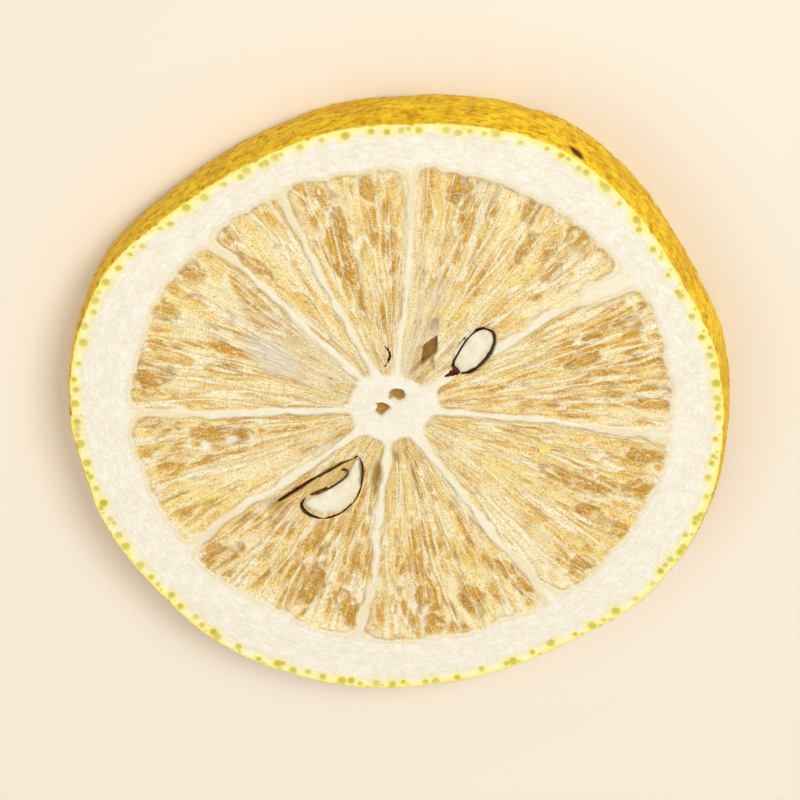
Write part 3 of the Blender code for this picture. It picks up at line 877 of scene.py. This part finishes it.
class Nodes:
    """Short calls for placing and joining the nodes of one tree."""

    def __init__(self, tree):
        self.tree = tree

    def add(self, kind, **settings):
        node = self.tree.nodes.new(kind)
        for name, value in settings.items():
            setattr(node, name, value)
        return node

    def feed(self, socket, source):
        if isinstance(source, bpy.types.NodeSocket):
            self.tree.links.new(source, socket)
        else:
            socket.default_value = source

    def mask(self, name):
        return self.add("ShaderNodeAttribute", attribute_name=name).outputs["Fac"]

    def place(self, name=None):
        if name:
            return self.add("ShaderNodeAttribute", attribute_name=name).outputs["Vector"]
        return self.add("ShaderNodeTexCoord").outputs["Object"]

    def stretched(self, vector, scale):
        node = self.add("ShaderNodeMapping")
        self.feed(node.inputs["Vector"], vector)
        node.inputs["Scale"].default_value = scale
        return node.outputs["Vector"]

    def noise(self, vector, scale, detail=3.0, rough=0.55, twist=0.0):
        node = self.add("ShaderNodeTexNoise")
        self.feed(node.inputs["Vector"], vector)
        self.feed(node.inputs["Scale"], scale)
        node.inputs["Detail"].default_value = detail
        node.inputs["Roughness"].default_value = rough
        node.inputs["Distortion"].default_value = twist
        return node.outputs["Fac"]

    def cells(self, vector, scale, feature="F1"):
        node = self.add("ShaderNodeTexVoronoi", feature=feature)
        self.feed(node.inputs["Vector"], vector)
        node.inputs["Scale"].default_value = scale
        return node.outputs["Distance"]

    def maths(self, kind, a, b=0.0, clamp=False):
        node = self.add("ShaderNodeMath", operation=kind, use_clamp=clamp)
        self.feed(node.inputs[0], a)
        self.feed(node.inputs[1], b)
        return node.outputs[0]

    def spread(self, value, low, high, to_low=0.0, to_high=1.0):
        node = self.add("ShaderNodeMapRange", interpolation_type="SMOOTHSTEP")
        self.feed(node.inputs["Value"], value)
        node.inputs["From Min"].default_value = low
        node.inputs["From Max"].default_value = high
        node.inputs["To Min"].default_value = to_low
        node.inputs["To Max"].default_value = to_high
        return node.outputs["Result"]

    def blend(self, share, a, b, kind="MIX"):
        node = self.add("ShaderNodeMix", data_type="RGBA", blend_type=kind)
        self.feed(node.inputs["Factor"], share)
        self.feed(node.inputs[6], a)
        self.feed(node.inputs[7], b)
        return node.outputs[2]

    def bump(self, height, strength, distance, normal=None):
        node = self.add("ShaderNodeBump")
        node.inputs["Strength"].default_value = strength
        node.inputs["Distance"].default_value = distance
        self.feed(node.inputs["Height"], height)
        if normal is not None:
            self.feed(node.inputs["Normal"], normal)
        return node.outputs["Normal"]

    def group(self, tree, **inputs):
        node = self.add("ShaderNodeGroup", node_tree=tree)
        for name, value in inputs.items():
            self.feed(node.inputs[name.replace("_", " ")], value)
        return node


def new_group(name, inputs, outputs):
    """An empty shader group with named sockets."""
    tree = bpy.data.node_groups.new(name, "ShaderNodeTree")
    for label, kind, value in inputs:
        socket = tree.interface.new_socket(label, in_out="INPUT", socket_type=kind)
        if value is not None:
            socket.default_value = value
    for label, kind in outputs:
        tree.interface.new_socket(label, in_out="OUTPUT", socket_type=kind)
    nodes = Nodes(tree)
    return tree, nodes, nodes.add("NodeGroupInput"), nodes.add("NodeGroupOutput")


def new_material(name):
    """An empty material: its nodes, and its Principled shader."""
    material = bpy.data.materials.new(name)
    material.use_nodes = True
    nodes = Nodes(material.node_tree)
    return material, nodes, material.node_tree.nodes["Principled BSDF"]


def dry_grain_group():
    """Fine dry grain that every material carries: an even grain, and a finer scatter of specks."""
    tree, nodes, given, made = new_group(
        "dry_grain",
        (("Scale", "NodeSocketFloat", 5200.0),),
        (("Grain", "NodeSocketFloat"), ("Speck", "NodeSocketFloat")),
    )
    place = nodes.place()
    nodes.feed(made.inputs["Grain"], nodes.noise(place, given.outputs["Scale"], 4.0, 0.70))
    finer = nodes.maths("MULTIPLY", given.outputs["Scale"], 1.8)
    nodes.feed(made.inputs["Speck"], nodes.noise(place, finer, 2.0, 0.5))
    return tree


def spongy_pith_group(dry_grain):
    """Cream-white pith: soft blotches, fine pores and a faint warmth, with its own relief."""
    tree, nodes, given, made = new_group(
        "spongy_pith",
        (("Warmth", "NodeSocketFloat", 0.0), ("Stroke", "NodeSocketVector", None)),
        (("Color", "NodeSocketColor"), ("Height", "NodeSocketFloat"), ("Roughness", "NodeSocketFloat")),
    )
    place = nodes.place()
    blotch = nodes.noise(place, 900.0, 5.0, 0.65)
    grain = nodes.group(dry_grain, Scale=3600.0).outputs["Grain"]
    pores = nodes.cells(place, 3300.0)
    light = nodes.blend(nodes.spread(blotch, 0.30, 0.70), srgb(246, 240, 224), srgb(239, 230, 206))
    light = nodes.blend(nodes.spread(grain, 0.50, 0.76, 0.0, 0.75), light, srgb(230, 216, 184))
    light = nodes.blend(nodes.spread(grain, 0.46, 0.28, 0.0, 0.70), light, srgb(250, 246, 236))
    strokes = nodes.noise(given.outputs["Stroke"], 1.0, 3.0, 0.6)
    light = nodes.blend(nodes.spread(strokes, 0.52, 0.70, 0.0, 0.45), light, srgb(238, 226, 196))
    light = nodes.blend(nodes.spread(strokes, 0.48, 0.32, 0.0, 0.50), light, srgb(255, 252, 240))
    light = nodes.blend(nodes.maths("MULTIPLY", given.outputs["Warmth"], 0.8), light, srgb(245, 226, 160))
    height = nodes.maths("ADD", nodes.maths("MULTIPLY", grain, 0.7), nodes.maths("MULTIPLY", pores, 0.5))
    height = nodes.maths("SUBTRACT", height, nodes.maths("MULTIPLY", strokes, 0.8))
    nodes.feed(made.inputs["Color"], light)
    nodes.feed(made.inputs["Height"], height)
    nodes.feed(made.inputs["Roughness"], nodes.spread(grain, 0.3, 0.7, 0.78, 0.92))
    return tree


def pulp_material(pith, dry_grain):
    """Dried pulp: amber juice cells between cream threads, with pith-like skin over the walls."""
    material, nodes, shader = new_material("dried_pulp")
    run = nodes.place("run")
    place = nodes.place()
    streak = nodes.noise(nodes.stretched(run, (1.1, 0.50, 0.5)), 1.0, 4.0, 0.65, 0.8)
    hair = nodes.noise(nodes.stretched(run, (2.4, 0.9, 1.0)), 1.0, 3.0, 0.65, 0.6)
    dust = nodes.group(dry_grain, Scale=3900.0)
    grain, speckle = dust.outputs["Grain"], dust.outputs["Speck"]
    tint = nodes.noise(place, 620.0, 4.0, 0.6)
    tone = nodes.spread(nodes.mask("tone"), 0.25, 0.75)
    base = nodes.blend(tone, srgb(255, 228, 142), srgb(235, 189, 88))
    base = nodes.blend(nodes.spread(tint, 0.50, 0.68, 0.0, 0.45), base, srgb(240, 195, 108))
    shade = nodes.noise(place, 340.0, 3.0, 0.6)
    base = nodes.blend(nodes.spread(shade, 0.50, 0.66, 0.0, 0.50), base, srgb(255, 220, 108))
    base = nodes.blend(nodes.spread(shade, 0.48, 0.34, 0.0, 0.45), base, srgb(236, 188, 120))
    base = nodes.blend(nodes.spread(streak, 0.46, 0.68, 0.0, 0.75), base, srgb(255, 239, 182))
    base = nodes.blend(nodes.spread(hair, 0.52, 0.72, 0.0, 0.70), base, srgb(206, 150, 56))
    rich = nodes.blend(nodes.spread(tint, 0.3, 0.7), srgb(222, 164, 22), srgb(182, 128, 8))
    rich = nodes.blend(nodes.spread(streak, 0.46, 0.74, 0.0, 0.50), rich, srgb(252, 210, 92))
    rich = nodes.blend(nodes.spread(hair, 0.55, 0.78, 0.0, 0.60), rich, srgb(164, 110, 16))
    colour = nodes.blend(nodes.spread(nodes.mask("amber"), 0.05, 0.90), base, rich)
    thread = nodes.spread(nodes.mask("thread"), 0.20, 0.80, 0.0, 0.88)
    colour = nodes.blend(thread, colour, srgb(255, 242, 194))
    fold = nodes.noise(nodes.stretched(run, (0.15, 0.055, 0.3)), 1.0, 2.0, 0.5, 0.3)
    off_fold = nodes.maths("ABSOLUTE", nodes.maths("SUBTRACT", fold, 0.5))
    # A faint tan band along each thin vein, painted as its shade
    beside = nodes.maths("MULTIPLY", nodes.spread(off_fold, 0.016, 0.034),
                         nodes.spread(off_fold, 0.075, 0.04))
    vein = nodes.maths("MULTIPLY", nodes.spread(off_fold, 0.026, 0.010),
                       nodes.spread(nodes.mask("amber"), 0.2, 1.0, 1.0, 0.25))
    # Painted shade beside the veins, then the pale veins themselves
    colour = nodes.blend(nodes.maths("MULTIPLY", beside, 0.30), colour, srgb(206, 150, 64))
    colour = nodes.blend(nodes.maths("MULTIPLY", vein, 0.85), colour, srgb(255, 244, 206))
    colour = nodes.blend(nodes.spread(grain, 0.53, 0.74, 0.0, 0.55), colour, srgb(192, 136, 48))
    colour = nodes.blend(nodes.spread(grain, 0.47, 0.26, 0.0, 0.70), colour, srgb(255, 242, 192))
    colour = nodes.blend(nodes.spread(speckle, 0.56, 0.66, 0.0, 0.50), colour, srgb(154, 108, 44))
    colour = nodes.blend(nodes.spread(speckle, 0.44, 0.30, 0.0, 0.60), colour, srgb(255, 246, 218))
    veil = nodes.blend(nodes.spread(hair, 0.42, 0.66), srgb(234, 228, 212), srgb(212, 203, 184))
    colour = nodes.blend(nodes.maths("MULTIPLY", nodes.mask("mauve"), 0.74), colour, veil)
    colour = nodes.blend(nodes.mask("olive"), colour, srgb(146, 114, 30))
    colour = nodes.blend(nodes.mask("brown"), colour, srgb(138, 88, 38))
    # Painted highlights: the specks turn near white
    colour = nodes.blend(nodes.maths("MULTIPLY", nodes.mask("painted_glint"), 0.8), colour, srgb(255, 250, 236))
    skin = nodes.group(pith, Warmth=nodes.maths("MULTIPLY", nodes.mask("warm"), 0.30),
                       Stroke=nodes.stretched(run, (1.6, 0.5, 1.0)))
    share = nodes.mask("skin")
    colour = nodes.blend(share, colour, skin.outputs["Color"])
    colour = nodes.blend(nodes.maths("MULTIPLY", nodes.mask("line"), 0.45), colour, srgb(232, 200, 128))
    nodes.feed(shader.inputs["Base Color"], colour)
    gloss = nodes.spread(nodes.mask("amber"), 0.1, 0.9, 0.60, 0.34)
    gloss = nodes.maths("ADD", gloss, nodes.spread(grain, 0.3, 0.7, -0.12, 0.14))
    rough = nodes.add("ShaderNodeMix", data_type="FLOAT")
    nodes.feed(rough.inputs["Factor"], share)
    nodes.feed(rough.inputs["A"], gloss)
    nodes.feed(rough.inputs["B"], skin.outputs["Roughness"])
    nodes.feed(shader.inputs["Roughness"], rough.outputs["Result"])
    relief = nodes.maths("ADD", nodes.maths("MULTIPLY", streak, 0.9), nodes.maths("MULTIPLY", hair, 0.9))
    relief = nodes.maths("ADD", relief, nodes.maths("MULTIPLY", grain, 1.5))
    relief = nodes.maths("ADD", relief, nodes.maths("MULTIPLY", vein, 0.8))
    relief = nodes.maths("MULTIPLY", relief, nodes.maths("SUBTRACT", 1.0, share))
    normal = nodes.bump(relief, 0.50, 0.00012)
    normal = nodes.bump(nodes.maths("MULTIPLY", skin.outputs["Height"], share), 0.3, 0.00004, normal)
    nodes.feed(shader.inputs["Normal"], normal)
    shader.inputs["Specular IOR Level"].default_value = 0.40
    return material


def pith_material(pith):
    """White pith, seen on the ring inside the peel."""
    material, nodes, shader = new_material("white_pith")
    skin = nodes.group(pith, Warmth=0.0, Stroke=nodes.stretched(nodes.place("run"), (0.40, 3.4, 1.0)))
    nodes.feed(shader.inputs["Base Color"], skin.outputs["Color"])
    nodes.feed(shader.inputs["Roughness"], skin.outputs["Roughness"])
    nodes.feed(shader.inputs["Normal"], nodes.bump(skin.outputs["Height"], 0.35, 0.00005))
    shader.inputs["Specular IOR Level"].default_value = 0.3
    return material


def peel_material(pith, dry_grain):
    """Golden peel, paler where the knife has cut it, with olive glands and darker pores."""
    material, nodes, shader = new_material("golden_peel")
    run = nodes.place("run")
    skin = nodes.group(pith, Warmth=0.0, Stroke=nodes.stretched(run, (0.80, 1.0, 3.4)))
    rind = nodes.mask("rind")
    mottle = nodes.noise(nodes.stretched(run, (0.60, 1.1, 1.0)), 1.0, 5.0, 0.66, 0.6)
    dash = nodes.noise(nodes.stretched(run, (1.3, 3.4, 1.0)), 1.0, 4.0, 0.62, 0.5)
    fine = nodes.group(dry_grain, Scale=3600.0).outputs["Grain"]
    gold = nodes.blend(nodes.spread(mottle, 0.38, 0.62), srgb(255, 214, 34), srgb(226, 172, 6))
    gold = nodes.blend(nodes.spread(dash, 0.51, 0.68, 0.0, 0.80), gold, srgb(255, 226, 60))
    gold = nodes.blend(nodes.spread(dash, 0.48, 0.32, 0.0, 0.88), gold, srgb(182, 126, 2))
    gold = nodes.blend(nodes.spread(fine, 0.54, 0.76, 0.0, 0.50), gold, srgb(255, 226, 70))
    gold = nodes.blend(nodes.spread(fine, 0.45, 0.28, 0.0, 0.50), gold, srgb(194, 137, 2))
    # Dents painted darker as shade
    gold = nodes.blend(nodes.maths("MULTIPLY", nodes.mask("dent"), 0.45), gold, srgb(212, 156, 4))
    gold = nodes.blend(nodes.maths("MULTIPLY", nodes.mask("pore"), 0.50), gold, srgb(172, 118, 4))
    cut = nodes.blend(nodes.spread(rind, 0.06, 0.50), skin.outputs["Color"], srgb(254, 247, 202))
    cut = nodes.blend(nodes.spread(rind, 0.45, 0.90), cut, srgb(255, 243, 156))
    cut = nodes.blend(nodes.maths("MULTIPLY", nodes.mask("halo"), 0.62), cut, srgb(255, 238, 100))
    cut = nodes.blend(nodes.maths("MULTIPLY", nodes.mask("gland"), 0.90), cut, srgb(196, 178, 38))
    colour = nodes.blend(nodes.spread(rind, 0.965, 1.0), cut, gold)
    colour = nodes.blend(nodes.mask("brown"), colour, srgb(84, 44, 14))
    nodes.feed(shader.inputs["Base Color"], colour)
    rough = nodes.maths("ADD", nodes.spread(rind, 0.5, 1.0, 0.84, 0.48),
                        nodes.spread(fine, 0.3, 0.7, -0.08, 0.10))
    nodes.feed(shader.inputs["Roughness"], rough)
    relief = nodes.maths("ADD", nodes.maths("MULTIPLY", dash, 1.2), fine)
    nodes.feed(shader.inputs["Normal"], nodes.bump(relief, 0.55, 0.00012))
    shader.inputs["Specular IOR Level"].default_value = 0.18
    return material


def seed_skin_material(name, dry_grain, deep, light):
    """Thin brown seed skin."""
    material, nodes, shader = new_material(name)
    tone = nodes.group(dry_grain, Scale=2600.0).outputs["Grain"]
    colour = nodes.blend(nodes.spread(tone, 0.38, 0.72), deep, light)
    nodes.feed(shader.inputs["Base Color"], colour)
    nodes.feed(shader.inputs["Roughness"], nodes.spread(tone, 0.3, 0.7, 0.52, 0.70))
    nodes.feed(shader.inputs["Normal"], nodes.bump(tone, 0.4, 0.00006))
    shader.inputs["Specular IOR Level"].default_value = 0.08
    return material


def kernel_material(dry_grain):
    """Cream kernel with a faint green cast and fine wrinkles."""
    material, nodes, shader = new_material("cream_kernel")
    tone = nodes.noise(nodes.place(), 1300.0, 3.0, 0.55)
    fine = nodes.group(dry_grain, Scale=4600.0).outputs["Grain"]
    colour = nodes.blend(nodes.spread(tone, 0.35, 0.68), srgb(244, 236, 212), srgb(236, 225, 188))
    colour = nodes.blend(nodes.spread(fine, 0.55, 0.85, 0.0, 0.5), colour, srgb(222, 204, 148))
    nodes.feed(shader.inputs["Base Color"], colour)
    nodes.feed(shader.inputs["Roughness"], nodes.spread(fine, 0.3, 0.7, 0.45, 0.62))
    nodes.feed(shader.inputs["Normal"], nodes.bump(fine, 0.35, 0.00005))
    return material


def crumb_material(dry_grain):
    """A dry yellow crumb."""
    material, nodes, shader = new_material("yellow_crumb")
    tone = nodes.group(dry_grain, Scale=3800.0).outputs["Grain"]
    nodes.feed(shader.inputs["Base Color"], nodes.blend(tone, srgb(252, 232, 140), srgb(240, 208, 96)))
    nodes.feed(shader.inputs["Roughness"], nodes.spread(tone, 0.3, 0.7, 0.6, 0.8))
    nodes.feed(shader.inputs["Normal"], nodes.bump(tone, 0.5, 0.0001))
    return material


# ---------------------------------------------------------------- stage, light and camera

def add_floor():
    """A plain pale floor that the slice lies on."""
    shape = bmesh.new()
    bmesh.ops.create_grid(shape, x_segments=1, y_segments=1, size=1.5)
    bmesh.ops.translate(shape, verts=shape.verts, vec=(0.0, 0.0, CAD_LOW.z - 0.00002))
    mesh = to_mesh(shape, "floor")
    material, nodes, shader = new_material("pale_floor")
    soft = nodes.noise(nodes.place(), 9.0, 2.0, 0.5)
    nodes.feed(shader.inputs["Base Color"], nodes.blend(soft, srgb(243, 231, 212), srgb(245, 234, 216)))
    shader.inputs["Roughness"].default_value = 0.75
    mesh.materials.append(material)
    floor = bpy.data.objects.new("floor", mesh)
    bpy.context.scene.collection.objects.link(floor)


def aim(thing, target, up):
    """Turns a light or camera to look at a point, with a direction that stays upright."""
    forward = (Vector(target) - thing.location).normalized()
    right = forward.cross(Vector(up)).normalized()
    true_up = right.cross(forward)
    turn = Matrix((right, true_up, -forward)).transposed()
    thing.rotation_euler = turn.to_euler()


def add_light(name, place, size, power, colour):
    """A soft square lamp that looks at the slice."""
    data = bpy.data.lights.new(name, "AREA")
    data.shape = "SQUARE"
    data.size = size
    data.energy = power
    data.color = colour
    lamp = bpy.data.objects.new(name, data)
    lamp.location = place
    bpy.context.scene.collection.objects.link(lamp)
    aim(lamp, (0.0, 0.0, 0.0), (0.0, 1.0, 0.01))


def add_lights():
    """A broad key from the upper right, a fill from the left, and a bright pale surround."""
    add_light("key", (0.22, 0.26, 0.46), 0.26, 1.76, (1.0, 0.99, 0.97))
    add_light("fill", (-0.40, -0.20, 0.42), 0.50, 0.85, (1.0, 0.995, 0.99))
    world = bpy.data.worlds.new("surround")
    world.use_nodes = True
    background = world.node_tree.nodes["Background"]
    background.inputs["Color"].default_value = (1.0, 0.985, 0.965, 1.0)
    background.inputs["Strength"].default_value = 0.52
    bpy.context.scene.world = world
    bpy.context.scene.view_settings.view_transform = "Standard"


def add_camera():
    """Looks down from the side where the peel's wall shows, with that side at the top."""
    data = bpy.data.cameras.new("camera")
    data.lens = 200.0
    data.sensor_width = 36.0
    data.clip_start = 0.01
    data.clip_end = 10.0
    camera = bpy.data.objects.new("camera", data)
    elevation = math.radians(60.5)
    distance = 0.375
    middle = Vector((0.0, 0.0, THICKNESS / 2.0))
    camera.location = middle + distance * Vector((0.0, math.cos(elevation), math.sin(elevation)))
    bpy.context.scene.collection.objects.link(camera)
    aim(camera, middle, (0.0, 1.0, 0.0))
    bpy.context.scene.camera = camera


# ---------------------------------------------------------------- the whole slice

SEGMENT_STEP_DEGREES = 0.32
SEGMENT_ROWS = 150
RING_STEPS = 720
PEEL_STEPS = 1200


def build():
    """Makes every piece of the slice."""
    grain = dry_grain_group()
    pith = spongy_pith_group(grain)
    pulp = pulp_material(pith, grain)
    make_pith_ring(pith_material(pith))
    make_peel(peel_material(pith, grain))
    make_core(pulp)
    for index in range(len(SEGMENTS)):
        make_segment(index, pulp)
    dark = seed_skin_material("dark_seed_skin", grain, srgb(44, 24, 8), srgb(96, 58, 24))
    brown = seed_skin_material("brown_seed_skin", grain, srgb(70, 40, 16), srgb(138, 92, 42))
    # This red-brown serves the seed tip and the dark sliver of painted shade in the slit
    tip = seed_skin_material("red_brown_seed_tip_and_slit_shade", grain, srgb(66, 20, 10), srgb(124, 62, 30))
    make_seeds(dark, brown, tip, kernel_material(grain), crumb_material(grain))


build()
add_floor()
add_lights()
add_camera()
